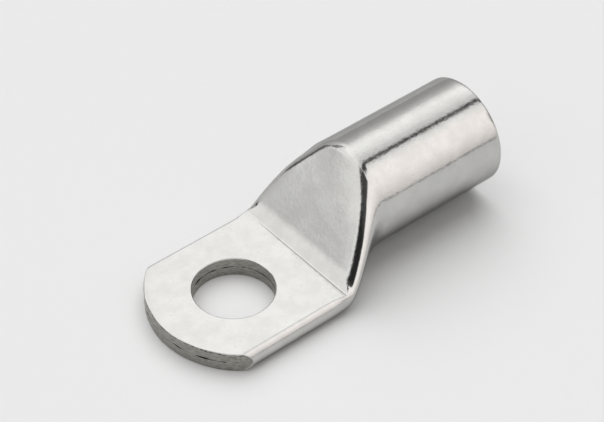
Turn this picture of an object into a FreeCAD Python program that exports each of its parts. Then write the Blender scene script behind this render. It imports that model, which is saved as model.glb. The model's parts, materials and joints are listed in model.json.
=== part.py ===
import FreeCAD, Part
import math
import os
from FreeCAD import Vector

# Crimp cable lug pressed from one length of copper tube: flat palm, formed neck, round barrel.
# The origin is the centre of the stud hole on the underside of the palm.
# X runs from the palm to the open mouth of the barrel and Z points up. Sizes in mm, angles in degrees.

# Barrel
totalLength = 79.5
barrelOuter = 24.0
barrelWall = 2.5
barrelLift = 1.0
rimBevel = 0.4
mouthChamfer = 0.6

# Palm
palmThickness = 4.64
palmFlat = 31.2
palmBulge = 1.2
palmNose = 17.6
noseRadius = 20.0
studHole = 17.0
holeEdge = 0.2
seamGap = 0.16

# Neck. Shares are parts of the neck's length, counted from the crease.
creasePosition = 16.3
flareLength = 4.0
flareWidth = 0.55
footAngle = 38.0
slopeAngle = 58.2
footRadius = 8.0
shoulderRadius = 2.4
shoulderWidth = 5.6
edgeInset = 0.88
edgeInsetLength = 1.3
faceTaper = 0.69
widthEndShare = 0.92
middleLead = 1.2
middleEndShare = 0.7
undersideLead = 3.0
undersideTaper = 0.8
undersideEndShare = 0.68
crownStartShare = 0.46
lowerCrownStartShare = 0.05
runOn = 1.5
neckSteps = 12
throatSteps = 8

# Run of each cutting body past the face that it cuts
overrun = 1.0

# Sizes that follow
barrelRadius = barrelOuter / 2
boreRadius = barrelRadius - barrelWall
axisHeight = barrelLift + barrelRadius
barrelTop = barrelLift + barrelOuter
mouthX = totalLength - palmNose
palmMiddle = palmThickness / 2
palmWall = (palmThickness - seamGap) / 2
flatHalf = palmFlat / 2
palmHalf = flatHalf + palmBulge
shoulderHalf = shoulderWidth / 2
flareStart = creasePosition - flareLength
palmStart = flareStart - runOn
sideRadius = (palmBulge ** 2 + palmMiddle ** 2) / (2 * palmBulge)
palmOpening = math.acos(palmMiddle / sideRadius)
barrelOpening = math.asin(shoulderHalf / barrelRadius)

# Side view of the pressed slope: concave foot, straight face, round shoulder
foot = math.radians(footAngle)
slope = math.radians(slopeAngle)
footEndX = creasePosition + footRadius * (math.sin(slope) - math.sin(foot))
footEndZ = palmThickness + footRadius * (math.cos(foot) - math.cos(slope))
shoulderStartZ = barrelTop - shoulderRadius * (1 - math.cos(slope))
shoulderStartX = footEndX + (shoulderStartZ - footEndZ) / math.tan(slope)
neckEnd = shoulderStartX + shoulderRadius * math.sin(slope)
neckLength = neckEnd - creasePosition


def ease(share):
    share = min(max(share, 0.0), 1.0)
    return share * share * (3 - 2 * share)


def blend(first, last, share):
    return first + (last - first) * share


def faceHeight(x):
    if x <= creasePosition:
        return palmThickness
    if x <= footEndX:
        angle = math.asin(math.sin(foot) + (x - creasePosition) / footRadius)
        return palmThickness + footRadius * (math.cos(foot) - math.cos(angle))
    if x <= shoulderStartX:
        return footEndZ + (x - footEndX) * math.tan(slope)
    angle = math.asin(max((neckEnd - x) / shoulderRadius, 0.0))
    return barrelTop - shoulderRadius * (1 - math.cos(angle))


def conic(start, control, end, weight):
    curve = Part.BSplineCurve()
    curve.buildFromPolesMultsKnots([start, control, end], [3, 3], [0.0, 1.0], False, 2, [1.0, weight, 1.0])
    return curve.toShape()


def quarter(s, name):
    """Side arc of the half called top or low: rise of its corner, start angle, centre and height."""
    flat = s[name + "Flat"]
    corner = abs(s[name] - s["middle"]) - flat * math.tan(s[name + "Crown"] / 2)
    start = math.pi / 2 - s[name + "Opening"]
    centre = (flat - s["half"] * math.cos(start)) / (1 - math.cos(start))
    return corner, start, centre, corner / math.sin(start)


def halfWidth(s, z):
    """Half the width of a section at height z, on its side arcs."""
    corner, start, centre, height = quarter(s, "top" if z > s["middle"] else "low")
    share = min(abs(z - s["middle"]), corner) / height
    return centre + (s["half"] - centre) * math.sqrt(1 - share ** 2)


def halfEdges(x, s, name, up):
    """Crossing edge and right-hand side edge of the half called top (up = 1) or low (up = -1)."""
    half = s["half"]
    middle = s["middle"]
    flat = s[name + "Flat"]
    crown = s[name + "Crown"]
    corner, start, centre, height = quarter(s, name)

    def at(y, rise):
        return Vector(x, y, middle + up * rise)

    crossing = Part.makeLine(at(-flat, corner), at(flat, corner))
    if crown > 0:
        peak = corner + flat * math.tan(crown)
        crossing = conic(at(-flat, corner), at(0, peak), at(flat, corner), math.cos(crown))
    side = conic(at(flat, corner), at(half, height * math.tan(start / 2)), at(half, 0), math.cos(start / 2))
    return crossing, side


def ring(x, s):
    """Closed section at x: crossing edges above and below, two quarter arcs on each side."""
    above, rightUp = halfEdges(x, s, "top", 1)
    below, rightDown = halfEdges(x, s, "low", -1)
    across = FreeCAD.Matrix()
    across.A22 = -1
    leftUp = rightUp.transformGeometry(across)
    leftDown = rightDown.transformGeometry(across)
    return Part.Wire([above, rightUp, rightDown, below, leftDown, leftUp])


def skin(x):
    """Sizes of the outer section at x, from the palm to the barrel."""
    share = (x - creasePosition) / neckLength
    top = faceHeight(x)
    climb = (top - palmThickness) / (barrelTop - palmThickness)
    flared = flatHalf + flareWidth * ease((x - flareStart) / flareLength)
    left = max(1 - climb, 0.0)
    inset = edgeInset * ease((x - creasePosition) / edgeInsetLength) * math.sqrt(left)
    underStart = creasePosition - undersideLead
    underShare = min(max((x - underStart) / (neckEnd - underStart), 0.0), 1.0)
    lowFlat = blend(flatHalf, shoulderHalf, underShare ** undersideTaper)
    middleStart = creasePosition - middleLead
    middleShare = ease((x - middleStart) / (middleLead + middleEndShare * neckLength))
    fading = palmOpening * (1 - ease((x - flareStart) / (2 * flareLength)))
    topCrown = barrelOpening * ease((share - crownStartShare) / (1 - crownStartShare))
    lowCrown = barrelOpening * ease((share - lowerCrownStartShare) / (1 - lowerCrownStartShare))
    return {
        "half": blend(palmHalf, barrelRadius, ease(share / widthEndShare)),
        "middle": blend(palmMiddle, axisHeight, middleShare),
        "top": top,
        "topFlat": blend(shoulderHalf, flared, left ** faceTaper) - inset,
        "topCrown": topCrown,
        "topOpening": max(fading, topCrown),
        "low": barrelLift * ease(share / undersideEndShare),
        "lowFlat": lowFlat,
        "lowCrown": lowCrown,
        "lowOpening": max(fading, lowCrown),
    }


def rampAt(z):
    """Place along X where the roof of the hollow, the slope moved in by the wall, reaches z."""
    return footEndX + (z + barrelWall / math.cos(slope) - footEndZ) / math.tan(slope)


seamTop = palmMiddle + seamGap / 2
boreTop = axisHeight + boreRadius
hollowStart = rampAt(seamTop)
hollowEnd = rampAt(boreTop)


def lining(x):
    """Sizes of the hollow at x, from the closed seam to the round bore."""
    s = skin(min(x, neckEnd))
    share = min((x - hollowStart) / (hollowEnd - hollowStart), 1.0)
    top = blend(seamTop, boreTop, share)
    low = blend(palmWall, barrelLift + barrelWall, ease(share))
    middle = blend((top + low) / 2, axisHeight, ease(share))
    half = halfWidth(s, middle) - blend(palmWall, barrelWall, ease(share))
    opening = barrelOpening * ease(share)
    roundFlat = boreRadius * math.sin(barrelOpening)
    return {
        "half": half,
        "middle": middle,
        "top": top,
        "topFlat": blend(half * s["topFlat"] / s["half"], roundFlat, ease(share)),
        "topCrown": opening,
        "topOpening": opening,
        "low": low,
        "lowFlat": blend(half * s["lowFlat"] / s["half"], roundFlat, ease(share)),
        "lowCrown": opening,
        "lowOpening": opening,
    }


def palmSide(side):
    """Rounded edge of the palm, left by the fold of the tube."""
    upper = Vector(palmStart, side * flatHalf, palmThickness)
    crest = Vector(palmStart, side * palmHalf, palmMiddle)
    lower = Vector(palmStart, side * flatHalf, 0)
    return Part.Arc(upper, crest, lower).toShape()


def tube(radius, start, end):
    return Part.makeCylinder(radius, end - start, Vector(start, 0, axisHeight), Vector(1, 0, 0))


# Outer skin
palmSection = Part.Wire([
    Part.makeLine(Vector(palmStart, -flatHalf, palmThickness), Vector(palmStart, flatHalf, palmThickness)),
    palmSide(1),
    Part.makeLine(Vector(palmStart, flatHalf, 0), Vector(palmStart, -flatHalf, 0)),
    palmSide(-1),
])
palm = Part.Face(palmSection).extrude(Vector(-palmStart - palmNose - overrun, 0, 0))
flareX = [palmStart] + [flareStart + share * flareLength for share in (0, 0.35, 0.7, 1)]
flare = Part.makeLoft([ring(x, skin(x)) for x in flareX], True, True)
neckX = [blend(creasePosition, neckEnd, step / neckSteps) for step in range(neckSteps + 1)]
barrelStart = neckEnd + runOn
neckX += [neckEnd + runOn / 2, barrelStart]
neck = Part.makeLoft([ring(x, skin(x)) for x in neckX], True, False)
barrel = tube(barrelRadius, barrelStart, mouthX)
rim = [edge for edge in barrel.Edges if abs(edge.BoundBox.XMin - mouthX) < 0.001]
barrel = barrel.makeChamfer(rimBevel, rim)
body = palm.fuse([flare, neck, barrel])

# Hollow: round bore, tapering throat under the slope, closed seam through the palm
throatX = [blend(hollowStart, hollowEnd, step / throatSteps) for step in range(throatSteps + 1)]
boreStart = hollowEnd + runOn
throatX.append(boreStart)
throat = Part.makeLoft([ring(x, lining(x)) for x in throatX], True, True)
seamHalf = flatHalf - palmWall
seam = Part.makeBox(hollowStart + palmNose + 2 * overrun, 2 * seamHalf, seamGap,
                    Vector(-palmNose - overrun, -seamHalf, palmWall))
bore = tube(boreRadius, boreStart, mouthX + overrun)
mouthLength = mouthChamfer + overrun
mouth = Part.makeCone(boreRadius, boreRadius + mouthLength, mouthLength,
                      Vector(mouthX - mouthChamfer, 0, axisHeight), Vector(1, 0, 0))
hollow = seam.fuse([throat, bore, mouth])

# Stud hole, punched from above, so its upper edge is drawn in a little
studRadius = studHole / 2
hole = Part.makeCylinder(studRadius, palmThickness + 2 * overrun, Vector(0, 0, -overrun))
holeRimLength = holeEdge + overrun
holeRim = Part.makeCone(studRadius, studRadius + holeRimLength, holeRimLength,
                        Vector(0, 0, palmThickness - holeEdge))

# Rounded nose of the palm
noseCentre = noseRadius - palmNose
blankStart = -palmNose - 3 * overrun
blankHeight = palmThickness + 2 * overrun
blank = Part.makeBox(noseCentre - blankStart, 4 * noseRadius, blankHeight,
                     Vector(blankStart, -2 * noseRadius, -overrun))
nose = blank.cut(Part.makeCylinder(noseRadius, blankHeight, Vector(noseCentre, 0, -overrun)))

lug = body.cut([hollow, hole, holeRim, nose])
lug = lug.removeSplitter()

os.makedirs("parts", exist_ok=True)
lug.exportStep("parts/cable_lug.step")
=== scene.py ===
import json
import math

import bmesh
import bpy
from mathutils import Matrix, Vector, noise


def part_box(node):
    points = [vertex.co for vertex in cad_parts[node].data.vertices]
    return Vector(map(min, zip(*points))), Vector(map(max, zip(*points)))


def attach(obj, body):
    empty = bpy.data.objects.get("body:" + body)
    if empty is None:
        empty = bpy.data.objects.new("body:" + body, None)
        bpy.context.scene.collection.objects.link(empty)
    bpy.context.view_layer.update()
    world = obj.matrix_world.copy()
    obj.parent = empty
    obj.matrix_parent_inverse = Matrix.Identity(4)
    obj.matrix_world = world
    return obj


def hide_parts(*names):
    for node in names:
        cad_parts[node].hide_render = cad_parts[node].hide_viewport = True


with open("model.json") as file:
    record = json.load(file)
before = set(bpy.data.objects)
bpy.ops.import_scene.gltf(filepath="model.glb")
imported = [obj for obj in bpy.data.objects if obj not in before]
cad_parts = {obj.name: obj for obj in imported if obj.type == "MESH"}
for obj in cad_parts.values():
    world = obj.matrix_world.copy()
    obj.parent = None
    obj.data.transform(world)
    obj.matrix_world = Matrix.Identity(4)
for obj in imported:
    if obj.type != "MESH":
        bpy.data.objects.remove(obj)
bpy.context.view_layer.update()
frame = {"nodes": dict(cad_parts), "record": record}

mm = 0.001
mounts = {mount["name"]: mount for mount in frame["record"]["mounts"]}
boxLow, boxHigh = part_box("cable_lug")
print("frame loaded:", ", ".join(sorted(frame["nodes"])))


# Small sums

def ease(share):
    share = min(max(share, 0.0), 1.0)
    return share * share * (3 - 2 * share)


def blend(first, last, share):
    return first + (last - first) * share


def steps(first, last, count):
    return [blend(first, last, step / count) for step in range(count + 1)]


# The lug's form, in millimetres: what mates comes from the frame, the rest is the pressed neck
lug = {
    "boreRadius": mounts["barrel_bore"]["dims"]["r_mm"],
    "axisHeight": mounts["barrel_bore"]["pos_m"][2] / mm,
    "studRadius": mounts["stud_hole"]["dims"]["r_mm"],
    "palmThickness": mounts["palm_top"]["pos_m"][2] / mm,
    "mouthX": round(boxHigh.x / mm, 1),
    "palmNose": round(-boxLow.x / mm, 1),
    "palmHalf": round(boxHigh.y / mm, 1),
    "barrelWall": 2.5,
    "barrelLift": 1.0,  # underside of the barrel above that of the palm
    "rimRound": 0.3,
    "mouthChamfer": 0.6,
    "palmBulge": 1.2,  # how far the side folds stand out past the flat
    "noseRadius": 20.0,
    "seamGap": 0.16,
    "creasePosition": 16.3,
    "creaseSoftness": 0.25,
    "creaseDent": 0.05,
    "creaseDentWidth": 0.22,
    "edgeFall": 0.10,  # how much the slope falls off at its edges
    "edgeFallShare": 0.35,
    "edgeFallStart": 1.0,
    "edgeFallLength": 3.0,
    "edgeFallFade": 2.5,
    "flareLength": 4.0,
    "flareWidth": 0.55,
    "footAngle": math.radians(44),
    "slopeAngle": math.radians(58.2),
    "footRadius": 16.1,
    "shoulderRadius": 2.4,
    "shoulderHalf": 2.8,
    "edgeInset": 0.88,  # how far in the slope's far edge starts to round
    "edgeInsetLength": 1.6,
    "nearInset": 2.0,  # the same at its near edge
    "nearInsetFade": 0.8,
    "faceTaper": 0.69,  # power by which the slope narrows as it rises
    "widthEndShare": 0.92,  # share of the neck after which it is as wide as the barrel
    "middleLead": 1.2,  # the sides start to rise this far before the crease
    "middleEndShare": 0.7,
    "undersideLead": 3.0,  # the underside starts to narrow this far before the crease
    "undersideTaper": 0.8,
    "undersideEndShare": 0.68,  # share of the neck over which the underside lifts
    "crownStartShare": 0.46,  # share of the neck where a flat starts to turn round
    "lowerCrownStartShare": 0.05,
}
lug["barrelRadius"] = lug["boreRadius"] + lug["barrelWall"]
lug["barrelTop"] = lug["barrelLift"] + 2 * lug["barrelRadius"]
lug["palmMiddle"] = lug["palmThickness"] / 2
lug["palmWall"] = (lug["palmThickness"] - lug["seamGap"]) / 2
lug["flatHalf"] = lug["palmHalf"] - lug["palmBulge"]
lug["flareStart"] = lug["creasePosition"] - lug["flareLength"]
sideRadius = (lug["palmBulge"] ** 2 + lug["palmMiddle"] ** 2) / (2 * lug["palmBulge"])
lug["palmOpening"] = math.acos(lug["palmMiddle"] / sideRadius)
lug["barrelOpening"] = math.asin(lug["shoulderHalf"] / lug["barrelRadius"])
lug["noseCentre"] = lug["noseRadius"] - lug["palmNose"]

# Side view of the slope: concave foot, straight face, round shoulder
footSin, footCos = math.sin(lug["footAngle"]), math.cos(lug["footAngle"])
slopeSin, slopeCos = math.sin(lug["slopeAngle"]), math.cos(lug["slopeAngle"])
slopeTan = slopeSin / slopeCos
lug["footEndX"] = lug["creasePosition"] + lug["footRadius"] * (slopeSin - footSin)
lug["footEndZ"] = lug["palmThickness"] + lug["footRadius"] * (footCos - slopeCos)
shoulderStartZ = lug["barrelTop"] - lug["shoulderRadius"] * (1 - slopeCos)
lug["shoulderStartX"] = lug["footEndX"] + (shoulderStartZ - lug["footEndZ"]) / slopeTan
lug["neckEnd"] = lug["shoulderStartX"] + lug["shoulderRadius"] * slopeSin
lug["neckLength"] = lug["neckEnd"] - lug["creasePosition"]


def faceHeight(x):
    past, soft = x - lug["creasePosition"], lug["creaseSoftness"]
    if past <= -soft:
        return lug["palmThickness"]
    if past <= soft:
        return lug["palmThickness"] + footSin / footCos * (past + soft) ** 2 / (4 * soft)
    if x <= lug["footEndX"]:
        angle = math.asin(footSin + past / lug["footRadius"])
        return lug["palmThickness"] + lug["footRadius"] * (footCos - math.cos(angle))
    if x <= lug["shoulderStartX"]:
        return lug["footEndZ"] + (x - lug["footEndX"]) * slopeTan
    angle = math.asin(max((lug["neckEnd"] - x) / lug["shoulderRadius"], 0.0))
    return lug["barrelTop"] - lug["shoulderRadius"] * (1 - math.cos(angle))


def skinSizes(x):
    # outer section at x, from the palm to the barrel
    past = x - lug["creasePosition"]
    share = past / lug["neckLength"]
    top = faceHeight(x) - lug["creaseDent"] * math.exp(-(past / lug["creaseDentWidth"]) ** 2)
    left = max((lug["barrelTop"] - top) / (lug["barrelTop"] - lug["palmThickness"]), 0.0)
    flared = lug["flatHalf"] + lug["flareWidth"] * ease((x - lug["flareStart"]) / lug["flareLength"])
    setBack = ease(past / lug["edgeInsetLength"])
    inset = lug["edgeInset"] * math.sqrt(left) * setBack
    nearInset = lug["nearInset"] * ease(left) ** lug["nearInsetFade"] * setBack
    edgeFall = lug["edgeFall"] * ease((past - lug["edgeFallStart"]) / lug["edgeFallLength"])
    underStart = lug["creasePosition"] - lug["undersideLead"]
    underShare = min(max((x - underStart) / (lug["neckEnd"] - underStart), 0.0), 1.0)
    middleLength = lug["middleLead"] + lug["middleEndShare"] * lug["neckLength"]
    middleShare = ease((past + lug["middleLead"]) / middleLength)
    fading = lug["palmOpening"] * (1 - ease((x - lug["flareStart"]) / (2 * lug["flareLength"])))
    crown = {}
    for name in ("crownStartShare", "lowerCrownStartShare"):
        crown[name] = lug["barrelOpening"] * ease((share - lug[name]) / (1 - lug[name]))
    return {
        "half": blend(lug["palmHalf"], lug["barrelRadius"], ease(share / lug["widthEndShare"])),
        "middle": blend(lug["palmMiddle"], lug["axisHeight"], middleShare),
        "top": top,
        "topFlat": blend(lug["shoulderHalf"], flared, left ** lug["faceTaper"]) - inset,
        "nearInset": nearInset - inset,
        "topCrown": crown["crownStartShare"],
        "topOpening": max(fading, crown["crownStartShare"]),
        "topFall": edgeFall * ease(lug["edgeFallFade"] * left),
        "low": lug["barrelLift"] * ease(share / lug["undersideEndShare"]),
        "lowFlat": blend(lug["flatHalf"], lug["shoulderHalf"], underShare ** lug["undersideTaper"]),
        "lowCrown": crown["lowerCrownStartShare"],
        "lowOpening": max(fading, crown["lowerCrownStartShare"]),
    }


def quarterArc(sizes, name):
    # arc from the end of a flat to the side: corner height, start angle, centre and full height
    flat = sizes[name + "Flat"]
    corner = abs(sizes[name] - sizes["middle"]) - flat * math.tan(sizes[name + "Crown"] / 2)
    start = math.pi / 2 - sizes[name + "Opening"]
    centre = (flat - sizes["half"] * math.cos(start)) / (1 - math.cos(start))
    return corner, start, centre, corner / math.sin(start)


def halfWidth(sizes, z):
    corner, start, centre, height = quarterArc(sizes, "top" if z > sizes["middle"] else "low")
    share = min(abs(z - sizes["middle"]), corner) / height
    return centre + (sizes["half"] - centre) * math.sqrt(1 - share ** 2)


# The hollow: closed seam in the palm, tapering throat under the slope, round bore
seamTop = lug["palmMiddle"] + lug["seamGap"] / 2
boreTop = lug["axisHeight"] + lug["boreRadius"]
rise = lug["barrelWall"] / slopeCos - lug["footEndZ"]
hollowStart = lug["footEndX"] + (seamTop + rise) / slopeTan
hollowEnd = lug["footEndX"] + (boreTop + rise) / slopeTan
seamEnd = lug["creasePosition"]
seamHalf = lug["flatHalf"] - lug["palmWall"]


def throatSizes(x):
    skin = skinSizes(min(x, lug["neckEnd"]))
    share = min((x - hollowStart) / (hollowEnd - hollowStart), 1.0)
    soft = ease(share)
    top = blend(seamTop, boreTop, share)
    low = blend(lug["palmWall"], lug["barrelLift"] + lug["barrelWall"], soft)
    middle = blend((top + low) / 2, lug["axisHeight"], soft)
    half = halfWidth(skin, middle) - blend(lug["palmWall"], lug["barrelWall"], soft)
    opening = lug["barrelOpening"] * soft
    roundFlat = lug["boreRadius"] * math.sin(lug["barrelOpening"])
    return {
        "half": half,
        "middle": middle,
        "top": top,
        "topFlat": blend(half * skin["topFlat"] / skin["half"], roundFlat, soft),
        "topCrown": opening,
        "topOpening": opening,
        "low": low,
        "lowFlat": blend(half * skin["lowFlat"] / skin["half"], roundFlat, soft),
        "lowCrown": opening,
        "lowOpening": opening,
    }


def liningSizes(x):
    seam = {
        "half": seamHalf, "middle": lug["palmMiddle"],
        "top": seamTop, "topFlat": seamHalf - lug["seamGap"], "topCrown": 0.0, "topOpening": 0.0,
        "low": lug["palmWall"], "lowFlat": seamHalf - lug["seamGap"], "lowCrown": 0.0, "lowOpening": 0.0,
    }
    if x <= seamEnd:
        return seam
    if x >= hollowStart:
        return throatSizes(x)
    first = throatSizes(hollowStart)
    share = (x - seamEnd) / (hollowStart - seamEnd)
    return {name: blend(seam[name], first[name], share) for name in seam}


# How finely the sheet is divided
division = {
    "flatSteps": 54,
    "flatEnds": (0.006, 0.012, 0.018, 0.026),  # extra columns at both ends of a flat
    "sideSteps": 26,
    "grooveColumn": 1,
    "noseEase": 3.0,  # rows follow the curved nose over this length
    "burrRuns": [0.36, 0.5, 0.64],
    "frontStart": 1.0,
    "frontSteps": 6,
    "blockFront": 6.3,  # from here to the flare a block stays open for the stud hole
    "blockColumn": 9,
    "blockSteps": 30,
    "spreadSteps": 9,
    "spreadCrowding": 1.5,
    "roundSteps": 4,
    "faceSteps": 6,
    "flareSteps": 8,
    "creaseSteps": 9,
    "creaseReaches": (1.5, 2.0),  # end of the fine rows and first plain row, times the softness
    "neckSteps": 80,
    "barrelSteps": 34,
    "seamSteps": 4,
    "throatSteps": 20,
    "boreSteps": 12,
    "mouthSteps": 3,
}

# Sheared edges, and the fold line that wanders between the two layers
cut = {
    "topRound": 0.17,
    "lowRound": 0.26,
    "holeRound": 0.2,
    "ragged": 0.6,
    "faceRough": 0.03,
    "faceFineness": (4, 2),  # how much finer the nose's two grains are in height
    "faceFineShare": 0.6,
    "holeRough": 0.02,
    "holeFineness": 3,
    "seamWander": 0.09,
    "seamOpen": 0.34,
    "seamFray": 0.10,
    "seamPinch": 0.4,  # most that the seam closes, as a share of its gap
    "seamSettle": 4.0,  # the fold line turns straight over this length
    "grooveDepth": 0.08,
    "grooveDeepening": 2.0,
    "grooveEnd": 0.4,
    "burrDepth": 0.06,
    "burrReach": 6.0,
    "burrLevel": 0.6,
    "burrUneven": 1.5,
}

# Size in millimetres and seed of each grain
grains = {
    "edge fine": (0.8, 5.2),
    "edge wide": (3.0, 1.4),
    "fold wander": (6.0, 3.1),
    "fold opening": (3.0, 8.4),
    "fold fray": (0.9, 4.4),
    "burr": (1.3, 7.7),
    "hole wall": (0.9, 2.2),
    "nose coarse": (1.1, 6.6),
    "nose fine": (0.35, 9.1),
}

# Columns of a flat, as shares of its half width, and where the underside's columns begin
flatEnds = division["flatEnds"]
inner = 1 - 2 * flatEnds[-1]
flatShares = [-1.0] + [end - 1 for end in flatEnds] + steps(-inner, inner, division["flatSteps"])
flatShares += [1 - end for end in reversed(flatEnds)] + [1.0]
flatCount = len(flatShares) - 1
sideCount = division["sideSteps"]
lowFirst = flatCount + 2 * sideCount


def grain(x, y, z, name):
    size, seed = grains[name]
    return noise.noise(Vector((x / size + seed, y / size - seed, z / size + 2 * seed)))


def ringHalf(sizes):
    # (y, z) of the far half: top from the middle outwards, side above, side below, underside
    found = []
    for name, up in (("top", 1), ("low", -1)):
        corner, start, centre, height = quarterArc(sizes, name)
        flat, crown = sizes[name + "Flat"], sizes[name + "Crown"]
        fullFall = sizes.get(name + "Fall", 0.0)
        crossing, side = [], []
        for share in flatShares[flatCount // 2:]:
            y, lift = flat * share, 0.0
            if crown > 0:
                y = flat * math.sin(crown * share) / math.sin(crown)
                lift = flat * (math.cos(crown * share) - math.cos(crown)) / math.sin(crown)
            outward = max((share - 1) / lug["edgeFallShare"] + 1, 0.0)
            crossing.append((y, sizes["middle"] + up * (corner + lift) - fullFall * outward ** 2))
        for step in range(1, sideCount + 1):
            angle = start * (1 - step / sideCount)
            y = centre + (sizes["half"] - centre) * math.cos(angle)
            fall = fullFall * math.sin(angle) / math.sin(start)
            side.append((y, sizes["middle"] + up * height * math.sin(angle) - fall))
        found += [crossing, side]
    return found


def mirrored(points):
    return [(-y, z) for y, z in points]


def ringPoints(sizes):
    # (y, z) round the section: top, far side, underside, near side
    top, upper, under, lower = ringHalf(sizes)
    nearSizes = dict(sizes, topFlat=sizes["topFlat"] - sizes.get("nearInset", 0.0))
    nearTop, nearUpper, nearUnder, nearLower = ringHalf(nearSizes)
    points = mirrored(nearTop[:0:-1]) + top + upper + lower[-2::-1]
    points += under[::-1] + mirrored(nearUnder[1:]) + mirrored(nearLower) + mirrored(nearUpper[-2::-1])
    return points


def inwards(points):
    # unit vectors towards the inside of a section
    found = []
    for index in range(len(points)):
        beforeY, beforeZ = points[index - 1]
        afterY, afterZ = points[(index + 1) % len(points)]
        along = Vector((afterY - beforeY, afterZ - beforeZ)).normalized()
        found.append((along.y, -along.x))
    return found


def noseLine(y):
    return lug["noseCentre"] - math.sqrt(lug["noseRadius"] ** 2 - y ** 2)


vertices, faces, kinds = [], [], []


def addVertex(x, y, z):
    vertices.append((x * mm, y * mm, z * mm))
    return len(vertices) - 1


def joinRows(first, second, kind):
    for index in range(len(first)):
        after = (index + 1) % len(first)
        corners = (first[index], first[after], second[after], second[index])
        if None not in corners:
            faces.append(corners)
            kinds.append(kind)


def joinInTurn(rows, kind):
    for first, second in zip(rows, rows[1:]):
        joinRows(first, second, kind)
    return rows[-1]


# Palm rows run from the curved nose to the straight line where the flare begins
palmLength = lug["palmNose"] + lug["flareStart"]
blockFront = division["blockFront"]
turnAngles = steps(math.pi / 2, 0, division["roundSteps"])
frontRuns = division["burrRuns"] + steps(division["frontStart"], blockFront, division["frontSteps"])
blockRuns = steps(blockFront, palmLength, division["blockSteps"])
blockColumns = (division["blockColumn"], flatCount - division["blockColumn"])


def palmX(run, y):
    nose = noseLine(y)
    spread = blend(nose, lug["flareStart"], run / palmLength)
    return blend(nose + run, spread, ease(run / division["noseEase"]))


def isOpen(run, column):
    # inside the block that is filled round the stud hole
    if not blockFront < run < palmLength:
        return False
    return any(first + blockColumns[0] < column < first + blockColumns[1] for first in (0, lowFirst))


def raggedRound(y, z):
    radius = cut["topRound"] if z > lug["palmMiddle"] else cut["lowRound"]
    ragged = cut["ragged"]
    return radius * (1 + ragged * grain(y, z, 0, "edge fine") + ragged * grain(y, z, 0, "edge wide"))


def seamShift(x, y, isTop):
    wander = cut["seamWander"] * grain(x, y, 0, "fold wander")
    opening = cut["seamOpen"] * grain(x, y, 0, "fold opening")
    opening += cut["seamFray"] * grain(x, y, 0, "fold fray")
    return wander + max(opening, -cut["seamPinch"] * lug["seamGap"]) * (1 if isTop else -1)


def grooveDepth(x):
    # fine line along the near edge of the flat, deeper where it meets the crease
    toCrease = lug["creasePosition"] - x
    deeper = 1 + ease(1 - toCrease / cut["grooveDeepening"])
    return cut["grooveDepth"] * deeper * ease(toCrease / cut["grooveEnd"])


def burrDent(y):
    # uneven line behind the burr, along the far half of the nose
    level = cut["burrLevel"] + cut["burrUneven"] * grain(y, 0, 0, "burr")
    return cut["burrDepth"] * ease(y / cut["burrReach"]) * max(level, 0)


def skinRow(x):
    row = []
    for column, (y, z) in enumerate(ringPoints(skinSizes(x))):
        lower = grooveDepth(x) if column == division["grooveColumn"] else 0
        row.append(addVertex(x, y, z - lower))
    return row


def skinPalmRows():
    points = ringPoints(skinSizes(lug["flareStart"]))
    inside = inwards(points)
    rows = []
    for angle in turnAngles:
        row = []
        for (y, z), (toY, toZ) in zip(points, inside):
            radius = raggedRound(y, z)
            drop = radius * (1 - math.cos(angle))
            x = palmX(radius * (1 - math.sin(angle)), y)
            row.append(addVertex(x, y + toY * drop, z + toZ * drop))
        rows.append(row)
    burrRun = division["burrRuns"][1]
    for run in frontRuns[:-1] + blockRuns:
        row = []
        for column, (y, z) in enumerate(points):
            lower = cut["grooveDepth"] if column == division["grooveColumn"] else 0
            if run == burrRun and column < flatCount:
                lower += burrDent(y)
            row.append(None if isOpen(run, column) else addVertex(palmX(run, y), y, z - lower))
        rows.append(row)
    return rows


def seamPalmRows():
    points = ringPoints(liningSizes(lug["flareStart"]))
    rows = []
    for run in [0.0] + frontRuns[:-1] + blockRuns:
        settled = ease((run - palmLength + cut["seamSettle"]) / cut["seamSettle"])
        row = []
        for column, (y, z) in enumerate(points):
            x = palmX(run, y)
            shift = seamShift(x, y, z > lug["palmMiddle"]) * (1 - settled)
            row.append(None if isOpen(run, column) else addVertex(x, y, z + shift))
        rows.append(row)
    return rows


def blockLoop(rows, first):
    # vertices round the block that holds the stud hole
    left, right = first + blockColumns[0], first + blockColumns[1]
    front, rear = len(rows) - len(blockRuns), len(rows) - 1
    loop = [rows[front][column] for column in range(left, right)]
    loop += [rows[row][right] for row in range(front, rear)]
    loop += [rows[rear][column] for column in range(right, left, -1)]
    loop += [rows[row][left] for row in range(rear, front, -1)]
    return loop


def circleRow(angles, radius, z):
    return [addVertex(radius * math.cos(angle), radius * math.sin(angle), z) for angle in angles]


def spreadRows(loop, angles, radius, heightAt, kind):
    # rings between the block's edge and a circle about the hole
    rows = [loop]
    for step in range(1, division["spreadSteps"] + 1):
        share = 1 - (1 - step / division["spreadSteps"]) ** division["spreadCrowding"]
        row = []
        for index, angle in zip(loop, angles):
            edge = Vector(vertices[index]) / mm
            x = blend(edge.x, radius * math.cos(angle), share)
            y = blend(edge.y, radius * math.sin(angle), share)
            row.append(addVertex(x, y, heightAt(x, y)))
        rows.append(row)
    return joinInTurn(rows, kind)


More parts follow.
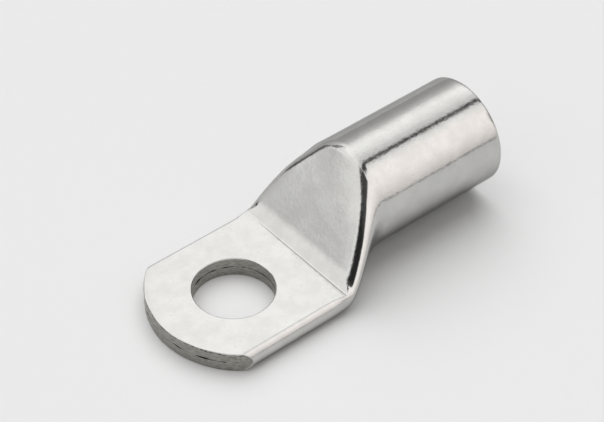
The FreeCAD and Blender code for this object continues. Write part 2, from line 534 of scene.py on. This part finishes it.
def buildHole(skinRows, seamRows, first):
    isTop = first == 0
    up = 1 if isTop else -1
    skinZ = lug["palmThickness"] if isTop else 0.0
    seamZ = seamTop if isTop else lug["palmWall"]
    skinLoop, seamLoop = blockLoop(skinRows, first), blockLoop(seamRows, first)
    angles = [math.atan2(vertices[index][1], vertices[index][0]) for index in skinLoop]
    rounding, radius = cut["holeRound"], lug["studRadius"]

    rows = [spreadRows(skinLoop, angles, radius + rounding, lambda x, y: skinZ, "skin")]
    for turn in turnAngles[-2::-1]:
        out, down = rounding * (1 - math.sin(turn)), rounding * (1 - math.cos(turn))
        rows.append(circleRow(angles, radius + out, skinZ - up * down))
    skinEdge = joinInTurn(rows, "skin")
    seamEdge = spreadRows(seamLoop, angles, radius, lambda x, y: seamZ + seamShift(x, y, isTop), "fold")

    rows = [skinEdge]
    for step in range(1, division["faceSteps"]):
        row = []
        for index, angle in zip(seamEdge, angles):
            z = blend(skinZ - up * rounding, vertices[index][2] / mm, step / division["faceSteps"])
            x, y = radius * math.cos(angle), radius * math.sin(angle)
            rough = 1 + cut["holeRough"] * grain(x, y, cut["holeFineness"] * z, "hole wall") / radius
            row.append(addVertex(x * rough, y * rough, z))
        rows.append(row)
    joinInTurn(rows + [seamEdge], "cut")


def buildNose(skinEdge, seamEdge):
    # sheared front face, between the rounded edge of the skin and the fold line
    coarse, fine = cut["faceFineness"]
    rows = [skinEdge]
    for step in range(1, division["faceSteps"]):
        share = step / division["faceSteps"]
        row = []
        for outerIndex, innerIndex in zip(skinEdge, seamEdge):
            edge, fold = Vector(vertices[outerIndex]) / mm, Vector(vertices[innerIndex]) / mm
            y, z = blend(edge.y, fold.y, share), blend(edge.z, fold.z, share)
            uneven = grain(y, coarse * z, 0, "nose coarse")
            uneven += cut["faceFineShare"] * grain(y, fine * z, 0, "nose fine")
            row.append(addVertex(noseLine(y) + cut["faceRough"] * uneven, y, z))
        rows.append(row)
    joinInTurn(rows + [seamEdge], "cut")


def barrelRow(x, radius):
    # same columns as the neck's last section, drawn on a circle
    scale, centre = radius / lug["barrelRadius"], lug["axisHeight"]
    points = ringPoints(skinSizes(lug["neckEnd"]))
    return [addVertex(x, y * scale, centre + (z - centre) * scale) for y, z in points]


def buildLug():
    skinRows, seamRows = skinPalmRows(), seamPalmRows()
    buildHole(skinRows, seamRows, 0)
    buildHole(skinRows, seamRows, lowFirst)
    buildNose(skinRows[0], seamRows[0])

    crease = lug["creasePosition"]
    fine, plain = [reach * lug["creaseSoftness"] for reach in division["creaseReaches"]]
    stations = steps(lug["flareStart"], crease - plain, division["flareSteps"])[1:]
    stations += steps(crease - fine, crease + fine, division["creaseSteps"])
    stations += steps(crease + plain, lug["neckEnd"], division["neckSteps"])
    for x in stations:
        skinRows.append(skinRow(x))
    for x in steps(lug["neckEnd"], lug["mouthX"] - lug["rimRound"], division["barrelSteps"])[1:]:
        skinRows.append(barrelRow(x, lug["barrelRadius"]))
    for angle in turnAngles[-2::-1]:
        x = lug["mouthX"] - lug["rimRound"] * (1 - math.sin(angle))
        skinRows.append(barrelRow(x, lug["barrelRadius"] - lug["rimRound"] * (1 - math.cos(angle))))
    # the nose's very edge and the outer half of the rim's round look sheared
    rimFirst = len(skinRows) - division["roundSteps"] // 2 - 1
    for number, (first, second) in enumerate(zip(skinRows, skinRows[1:])):
        joinRows(first, second, "cut" if number == 0 or number >= rimFirst else "skin")

    foldCount = len(seamRows)
    stations = steps(lug["flareStart"], hollowStart, division["seamSteps"])[1:]
    stations += steps(hollowStart, hollowEnd, division["throatSteps"])[1:]
    for x in stations:
        seamRows.append([addVertex(x, y, z) for y, z in ringPoints(liningSizes(x))])
    for x in steps(hollowEnd, lug["mouthX"] - lug["mouthChamfer"], division["boreSteps"])[1:]:
        seamRows.append(barrelRow(x, lug["boreRadius"]))
    for number, (first, second) in enumerate(zip(seamRows, seamRows[1:])):
        joinRows(first, second, "fold" if number < foldCount else "hollow")

    rows, mouthSteps = [skinRows[-1]], division["mouthSteps"]
    outerRadius, innerRadius = lug["barrelRadius"] - lug["rimRound"], lug["boreRadius"] + lug["mouthChamfer"]
    for radius in steps(outerRadius, innerRadius, mouthSteps)[1:]:
        rows.append(barrelRow(lug["mouthX"], radius))
    for step in range(1, mouthSteps):
        down = lug["mouthChamfer"] * step / mouthSteps
        rows.append(barrelRow(lug["mouthX"] - down, innerRadius - down))
    joinInTurn(rows + [seamRows[-1]], "cut")


buildLug()
print("lug drawn:", len(faces), "faces")


# Node helpers

def addNode(tree, kind, **settings):
    node = tree.nodes.new(kind)
    for name, value in settings.items():
        setattr(node, name, value)
    return node


def feed(tree, socket, value):
    # a link from another node, or a plain number, vector or colour
    if isinstance(value, bpy.types.NodeSocket):
        tree.links.new(value, socket)
    else:
        socket.default_value = value


def calculate(tree, operation, first, second=None, clamp=False):
    node = addNode(tree, "ShaderNodeMath", operation=operation, use_clamp=clamp)
    feed(tree, node.inputs[0], first)
    if second is not None:
        feed(tree, node.inputs[1], second)
    return node.outputs[0]


def dot(tree, first, second):
    node = addNode(tree, "ShaderNodeVectorMath", operation="DOT_PRODUCT")
    feed(tree, node.inputs[0], first)
    feed(tree, node.inputs[1], second)
    return node.outputs["Value"]


def stretch(tree, vector, amounts):
    node = addNode(tree, "ShaderNodeVectorMath", operation="MULTIPLY")
    feed(tree, node.inputs[0], vector)
    feed(tree, node.inputs[1], amounts)
    return node.outputs[0]


def enlarge(tree, vector, factor):
    node = addNode(tree, "ShaderNodeVectorMath", operation="SCALE")
    feed(tree, node.inputs[0], vector)
    feed(tree, node.inputs["Scale"], factor)
    return node.outputs[0]


def splitAxes(tree, vector):
    node = addNode(tree, "ShaderNodeSeparateXYZ")
    feed(tree, node.inputs[0], vector)
    return node.outputs


def remap(tree, value, fromLow, fromHigh, toLow=0.0, toHigh=1.0):
    node = addNode(tree, "ShaderNodeMapRange", interpolation_type="SMOOTHSTEP")
    for socket, item in zip(node.inputs, (value, fromLow, fromHigh, toLow, toHigh)):
        feed(tree, socket, item)
    return node.outputs[0]


def mixColor(tree, share, first, second):
    # the Mix node keeps its colours on inputs 6 and 7 and on output 2
    node = addNode(tree, "ShaderNodeMix", data_type="RGBA")
    feed(tree, node.inputs[0], share)
    feed(tree, node.inputs[6], first)
    feed(tree, node.inputs[7], second)
    return node.outputs[2]


def grainTexture(tree, vector, size, detail=2.0, roughness=0.5):
    node = addNode(tree, "ShaderNodeTexNoise")
    feed(tree, node.inputs["Vector"], vector)
    node.inputs["Scale"].default_value = 1 / (size * mm)
    node.inputs["Detail"].default_value = detail
    node.inputs["Roughness"].default_value = roughness
    return node.outputs["Fac"]


def newGroup(name, inputs, outputs):
    tree = bpy.data.node_groups.new(name, "ShaderNodeTree")
    for label, kind, start in inputs:
        socket = tree.interface.new_socket(label, in_out="INPUT", socket_type=kind)
        if start is not None:
            socket.default_value = start
    for label, kind in outputs:
        tree.interface.new_socket(label, in_out="OUTPUT", socket_type=kind)
    return tree, tree.nodes.new("NodeGroupInput").outputs, tree.nodes.new("NodeGroupOutput").inputs


def placeGroup(tree, group, **values):
    node = addNode(tree, "ShaderNodeGroup", node_tree=group)
    for label, value in values.items():
        feed(tree, node.inputs[label], value)
    return node.outputs


# Groups that the finishes share: size in millimetres, detail and roughness of each texture
grainLimits = (0.3, 0.7)  # most of a texture lies between these values

plateMottle = {
    "cloud": (4.0, 3.0, 0.55),
    "satin": (0.65, 3.0, 0.6),
    "speck": (0.5, 1.0, 0.5),
    "speckLimits": (0.60, 0.80),
}


def makeMottle():
    # cloudy patches, fine satin grain and small dull specks of a tin plate
    group, given, result = newGroup(
        "plateMottle",
        [("Vector", "NodeSocketVector", None), ("Fineness", "NodeSocketFloat", 1.0)],
        [("Cloud", "NodeSocketFloat"), ("Satin", "NodeSocketFloat"), ("Specks", "NodeSocketFloat")],
    )
    place = enlarge(group, given["Vector"], given["Fineness"])
    cloud = grainTexture(group, place, *plateMottle["cloud"])
    speck = grainTexture(group, place, *plateMottle["speck"])
    feed(group, result["Cloud"], remap(group, cloud, *grainLimits))
    feed(group, result["Satin"], grainTexture(group, place, *plateMottle["satin"]))
    feed(group, result["Specks"], remap(group, speck, *plateMottle["speckLimits"]))
    return group


shearStreaks = {
    "stretch": (0.45, 0.45, 1.3),  # long along the sheet and fine across it
    "streak": (0.4, 5.0, 0.7),
    "tear": (0.7, 3.0, 0.6),
    "tearLimits": (0.60, 0.72),
    # ragged breaks of the painted burr shade along the nose's top edge
    "fray": (0.9, 2.0, 0.5),
    "frayLimits": (0.46, 0.56),
}


def makeStreaks():
    # torn lines of a sheared face, and the ragged mask of the painted burr shade
    group, given, result = newGroup(
        "shearStreaks",
        [("Vector", "NodeSocketVector", None)],
        [("Streaks", "NodeSocketFloat"), ("Tears", "NodeSocketFloat"), ("Fray", "NodeSocketFloat")],
    )
    along = stretch(group, given["Vector"], shearStreaks["stretch"])
    tear = grainTexture(group, along, *shearStreaks["tear"])
    fray = grainTexture(group, given["Vector"], *shearStreaks["fray"])
    feed(group, result["Streaks"], grainTexture(group, along, *shearStreaks["streak"]))
    feed(group, result["Tears"], remap(group, tear, *shearStreaks["tearLimits"]))
    feed(group, result["Fray"], remap(group, fray, *shearStreaks["frayLimits"]))
    return group


mottle, streaks = makeMottle(), makeStreaks()
print("mottle and streaks ready")


def newFinish(name, metallic=1.0):
    material = bpy.data.materials.new(name)
    material.use_nodes = True
    tree = material.node_tree
    shader = tree.nodes["Principled BSDF"].inputs
    shader["Metallic"].default_value = metallic
    place = addNode(tree, "ShaderNodeTexCoord").outputs["Object"]
    return material, tree, shader, place


def relief(tree, layers):
    # bumps on top of each other: (height, distance in millimetres)
    normal = None
    for height, distance in layers:
        bump = addNode(tree, "ShaderNodeBump")
        bump.inputs["Distance"].default_value = distance * mm
        feed(tree, bump.inputs["Height"], height)
        if normal is not None:
            feed(tree, bump.inputs["Normal"], normal)
        normal = bump.outputs[0]
    return normal


tinPlate = {
    "color": (0.52, 0.516, 0.502, 1),
    "cloudColor": (0.57, 0.566, 0.552, 1),
    "speckColor": (0.50, 0.494, 0.478, 1),
    "roughness": (0.08, 0.14),
    "satinHeight": 0.020,
    "pressedShare": 0.58,  # of that height, on palm and slope
    "drawnFrom": (24.0, 30.0),
    "edgeTint": (0.55, 0.55, 0.55, 1),
    "cloudHeight": 0.010,
}


def makeTinPlate():
    material, tree, shader, place = newFinish("tin plate")
    plate = placeGroup(tree, mottle, Vector=place)
    color = mixColor(tree, plate["Cloud"], tinPlate["color"], tinPlate["cloudColor"])
    feed(tree, shader["Base Color"], mixColor(tree, plate["Specks"], color, tinPlate["speckColor"]))
    feed(tree, shader["Roughness"], remap(tree, plate["Satin"], *grainLimits, *tinPlate["roughness"]))
    # the drawn barrel keeps a deeper grain than the pressed faces
    drawnFrom = [x * mm for x in tinPlate["drawnFrom"]]
    drawn = remap(tree, splitAxes(tree, place)["X"], *drawnFrom, tinPlate["pressedShare"], 1.0)
    satin = calculate(tree, "MULTIPLY", plate["Satin"], drawn)
    layers = [(plate["Cloud"], tinPlate["cloudHeight"]), (satin, tinPlate["satinHeight"])]
    feed(tree, shader["Normal"], relief(tree, layers))
    shader["Specular Tint"].default_value = tinPlate["edgeTint"]
    return material


shearedFace = {
    "color": (0.37, 0.361, 0.334, 1),
    "streakColor": (0.25, 0.241, 0.219, 1),
    "streakLimits": (0.4, 0.65),
    "tearColor": (0.19, 0.18, 0.16, 1),
    # near-black painted shade under the burr, in a band just below the nose's top edge
    "edgeColor": (0.06, 0.057, 0.05, 1),
    "edgeDepths": (0.28, 0.55),
    "noseReach": (-9.0, -11.0),
    "roughness": (0.32, 0.5),
    "streakHeight": 0.05,
}


def makeShearedFace():
    material, tree, shader, place = newFinish("sheared face")
    torn = placeGroup(tree, streaks, Vector=place)
    streaked = remap(tree, torn["Streaks"], *shearedFace["streakLimits"])
    color = mixColor(tree, streaked, shearedFace["color"], shearedFace["streakColor"])
    color = mixColor(tree, torn["Tears"], color, shearedFace["tearColor"])
    # painted shade of the torn burr: a ragged dark line under the top edge of the nose
    axes = splitAxes(tree, place)
    upper, lower = [(lug["palmThickness"] - depth) * mm for depth in shearedFace["edgeDepths"]]
    high = remap(tree, axes["Z"], lower, upper)
    onNose = remap(tree, axes["X"], *[x * mm for x in shearedFace["noseReach"]])
    burrShade = calculate(tree, "MULTIPLY", calculate(tree, "MULTIPLY", high, onNose), torn["Fray"])
    feed(tree, shader["Base Color"], mixColor(tree, burrShade, color, shearedFace["edgeColor"]))
    feed(tree, shader["Roughness"], remap(tree, torn["Streaks"], *grainLimits, *shearedFace["roughness"]))
    feed(tree, shader["Normal"], relief(tree, [(torn["Streaks"], shearedFace["streakHeight"])]))
    return material


boreFinish = {
    "color": (0.55, 0.54, 0.52, 1),
    "speckColor": (0.36, 0.35, 0.33, 1),
    "fineness": 0.8,
    "roughness": (0.28, 0.4),
    "satinHeight": 0.02,
}


def makeBoreFinish():
    material, tree, shader, place = newFinish("bore")
    plate = placeGroup(tree, mottle, Vector=place, Fineness=boreFinish["fineness"])
    color = mixColor(tree, plate["Specks"], boreFinish["color"], boreFinish["speckColor"])
    feed(tree, shader["Base Color"], color)
    feed(tree, shader["Roughness"], remap(tree, plate["Satin"], *grainLimits, *boreFinish["roughness"]))
    feed(tree, shader["Normal"], relief(tree, [(plate["Satin"], boreFinish["satinHeight"])]))
    return material


# the inside of the closed fold is painted near-black as shade, its darkness varied by a fine grain
foldShade = {
    "color": (0.09, 0.085, 0.075, 1),
    "stainColor": (0.04, 0.037, 0.03, 1),
    "fineness": 2.0,
    "roughness": 0.6,
}


def makeFoldShade():
    material, tree, shader, place = newFinish("fold line")
    plate = placeGroup(tree, mottle, Vector=place, Fineness=foldShade["fineness"])
    color = mixColor(tree, plate["Satin"], foldShade["color"], foldShade["stainColor"])
    feed(tree, shader["Base Color"], color)
    shader["Roughness"].default_value = foldShade["roughness"]
    return material


def linkObject(name, mesh):
    made = bpy.data.objects.new(name, mesh)
    bpy.context.scene.collection.objects.link(made)
    return made


def makeLugPiece():
    kindOrder = ("skin", "cut", "hollow", "fold")
    sharpBetween = ({"cut", "hollow"}, {"cut", "fold"})
    sheet = bpy.data.meshes.new("lug")
    sheet.from_pydata(vertices, [], faces)
    for polygon, kind in zip(sheet.polygons, kinds):
        polygon.material_index = kindOrder.index(kind)
        polygon.use_smooth = True
    shape = bmesh.new()
    shape.from_mesh(sheet)
    unused = [vertex for vertex in shape.verts if not vertex.link_faces]
    bmesh.ops.delete(shape, geom=unused, context="VERTS")
    bmesh.ops.recalc_face_normals(shape, faces=shape.faces)
    openEdges = [edge for edge in shape.edges if len(edge.link_faces) != 2]
    for edge in shape.edges:
        meeting = {kindOrder[face.material_index] for face in edge.link_faces}
        edge.smooth = meeting not in sharpBetween
    shape.to_mesh(sheet)
    shape.free()
    for finish in (makeTinPlate(), makeShearedFace(), makeBoreFinish(), makeFoldShade()):
        sheet.materials.append(finish)
    print("lug sheet closed:", not openEdges, "with", len(sheet.materials), "finishes")
    return linkObject("lug", sheet)


lugPiece = makeLugPiece()
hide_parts("cable_lug")
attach(lugPiece, "root")


# Floor
floor = {
    "half": 3.0,  # metres
    "color": (0.82, 0.82, 0.82, 1),
    "grainColor": (0.83, 0.83, 0.83, 1),
    "grainSize": 2.0,
    "roughness": 0.9,
}


def makeFloor():
    material, tree, shader, place = newFinish("floor paper", metallic=0.0)
    paper = grainTexture(tree, place, floor["grainSize"])
    feed(tree, shader["Base Color"], mixColor(tree, paper, floor["color"], floor["grainColor"]))
    shader["Roughness"].default_value = floor["roughness"]
    shader["Specular IOR Level"].default_value = 0.0
    half = floor["half"]
    corners = [(-half, -half, 0), (half, -half, 0), (half, half, 0), (-half, half, 0)]
    sheet = bpy.data.meshes.new("floor")
    sheet.from_pydata(corners, [], [(0, 1, 2, 3)])
    sheet.materials.append(material)
    linkObject("floor", sheet)


# Light tent: a ridge tent along the lug, as a glow that depends on direction alone
tent = {
    "peak": 1.56,
    # degrees over the ridge from the rear floor, and share of the peak
    "slopes": (
        (0, 0.39), (10, 0.35), (22, 0.39), (34, 0.54), (43, 0.86), (52, 0.99), (60, 0.96), (72, 0.81),
        (86, 0.59), (88.8, 0.59), (90.0, 0.05), (96.8, 0.05), (98.3, 0.68), (108, 0.89), (120, 0.99),
        (140, 0.99), (155, 0.85), (167, 0.71), (178.1, 0.57), (178.6, 0.02), (180, 0.02),
    ),
    "warmFrom": (97, 125),
    "warmth": (1.0, 0.958, 0.938, 1),
    "leastDepth": 0.001,  # keeps a panel out of the directions behind it
    # azimuth and elevation of the middle, turn, half width, half height, softness, brightness
    "patches": {
        "far end": (147, 25, 0, 0.36, 0.325, 0.16, 1.28),
        "far foot": (128, 5, 0, 0.25, 0.11, 0.05, 0.85),
        "far frame low": (119, 10, 35, 0.21, 0.05, 0.03, 0.08),
        "far frame high": (115, 33, -43, 0.36, 0.05, 0.03, 0.08),
        "opening side": (186, 37, 0, 0.32, 0.24, 0.10, 0.09),
        "front opening": (180, 19, 0, 0.33, 0.20, 0.06, 0.03),
        "ridge fan": (270, 80, 0, 0.34, 0.12, 0.08, 0.08),
        "rear opening": (0, 12, 0, 0.80, 0.50, 0.20, 0.08),
    },
}


def makePanelGroup():
    # a soft-edged rectangle seen from the middle of the tent
    group, given, result = newGroup(
        "tentPanel",
        [
            ("Direction", "NodeSocketVector", None),
            ("Facing", "NodeSocketVector", None),
            ("Sideways", "NodeSocketVector", None),
            ("Upright", "NodeSocketVector", None),
            ("Half Width", "NodeSocketFloat", 1.0),
            ("Half Height", "NodeSocketFloat", 1.0),
            ("Softness", "NodeSocketFloat", 0.2),
        ],
        [("Mask", "NodeSocketFloat")],
    )
    ahead = dot(group, given["Direction"], given["Facing"])
    depth = calculate(group, "MAXIMUM", ahead, tent["leastDepth"])
    fullFrom = calculate(group, "MULTIPLY", given["Softness"], -1.0)
    masks = []
    for axis, half in (("Sideways", "Half Width"), ("Upright", "Half Height")):
        across = calculate(group, "DIVIDE", dot(group, given["Direction"], given[axis]), depth)
        beyond = calculate(group, "SUBTRACT", calculate(group, "ABSOLUTE", across), given[half])
        masks.append(remap(group, beyond, given["Softness"], fullFrom))
    feed(group, result["Mask"], calculate(group, "MULTIPLY", *masks))
    return group


def aim(azimuth, elevation):
    turn, rise = math.radians(azimuth), math.radians(elevation)
    return Vector((math.cos(turn) * math.cos(rise), math.sin(turn) * math.cos(rise), math.sin(rise)))


def placePanel(tree, group, direction, azimuth, elevation, turn, wide, high, softness):
    facing = aim(azimuth, elevation)
    sideways = Matrix.Rotation(math.radians(turn), 3, facing) @ aim(azimuth + 90, 0)
    values = {
        "Direction": direction, "Facing": facing, "Sideways": sideways, "Upright": facing.cross(sideways),
        "Half Width": wide, "Half Height": high, "Softness": softness,
    }
    return placeGroup(tree, group, **values)["Mask"]


def makeTent():
    world = bpy.data.worlds.new("light tent")
    world.use_nodes = True
    tree = world.node_tree
    direction = addNode(tree, "ShaderNodeTexCoord").outputs["Generated"]
    axes = splitAxes(tree, direction)
    overRidge = calculate(tree, "ARCTAN2", axes["Z"], axes["Y"])
    ramp = addNode(tree, "ShaderNodeValToRGB")
    feed(tree, ramp.inputs[0], calculate(tree, "DIVIDE", overRidge, math.pi, clamp=True))
    stops = ramp.color_ramp.elements
    while len(stops) < len(tent["slopes"]):
        stops.new(1.0)
    for stop, (degrees, share) in zip(stops, tent["slopes"]):
        stop.position = degrees / 180
        stop.color = (share, share, share, 1)
    warm = remap(tree, overRidge, *[math.radians(degrees) for degrees in tent["warmFrom"]])
    tint = mixColor(tree, warm, (1, 1, 1, 1), tent["warmth"])
    light = enlarge(tree, stretch(tree, ramp.outputs[0], tint), tent["peak"])
    group = makePanelGroup()
    for *panel, brightness in tent["patches"].values():
        mask = placePanel(tree, group, direction, *panel)
        light = mixColor(tree, mask, light, (brightness, brightness, brightness, 1))
    feed(tree, tree.nodes["Background"].inputs["Color"], light)
    world.cycles_visibility.diffuse = False
    bpy.context.scene.world = world
    bpy.context.scene.view_settings.view_transform = "Standard"


# Two wide lamps shape the shadow on the floor; the metal mirrors the tent alone
lamps = {
    # azimuth, elevation and spread in degrees, brightness on the floor
    "key": (64, 64, 75, 0.63),
    "fill": (200, 84, 150, 0.37),
}


def makeLamps():
    for name, (azimuth, elevation, spread, brightness) in lamps.items():
        light = bpy.data.lights.new(name + " lamp", "SUN")
        light.angle = math.radians(spread)
        light.energy = brightness * math.pi / math.sin(math.radians(elevation))
        lamp = linkObject(name + " lamp", light)
        lamp.rotation_euler = aim(azimuth, elevation).to_track_quat("Z", "Y").to_euler()
        lamp.visible_glossy = False


makeFloor()
makeTent()
makeLamps()
print("floor, light tent and lamps set up")


# Camera, at the photograph's angle
camera = {
    "azimuth": math.radians(40.02),
    "elevation": math.radians(42.75),
    "roll": math.radians(0.35),
    "distance": 0.45,  # metres from the target
    "target": (0.028363, 0.012604, 0.0),
    "lens": 126.64,
    "sensor": 36,
}


def makeCamera():
    turn, rise, roll = camera["azimuth"], camera["elevation"], camera["roll"]
    back = Vector((-math.sin(turn) * math.cos(rise), -math.cos(turn) * math.cos(rise), math.sin(rise)))
    levelRight = Vector((0, 0, 1)).cross(back).normalized()
    levelUp = back.cross(levelRight)
    right = levelRight * math.cos(roll) + levelUp * math.sin(roll)
    up = levelUp * math.cos(roll) - levelRight * math.sin(roll)
    lens = bpy.data.cameras.new("product camera")
    lens.lens = camera["lens"]
    lens.sensor_width = camera["sensor"]
    made = linkObject("product camera", lens)
    axes = Matrix((right, up, back)).transposed().to_4x4()
    made.matrix_world = Matrix.Translation(Vector(camera["target"]) + back * camera["distance"]) @ axes
    bpy.context.scene.camera = made


makeCamera()
print("camera set")
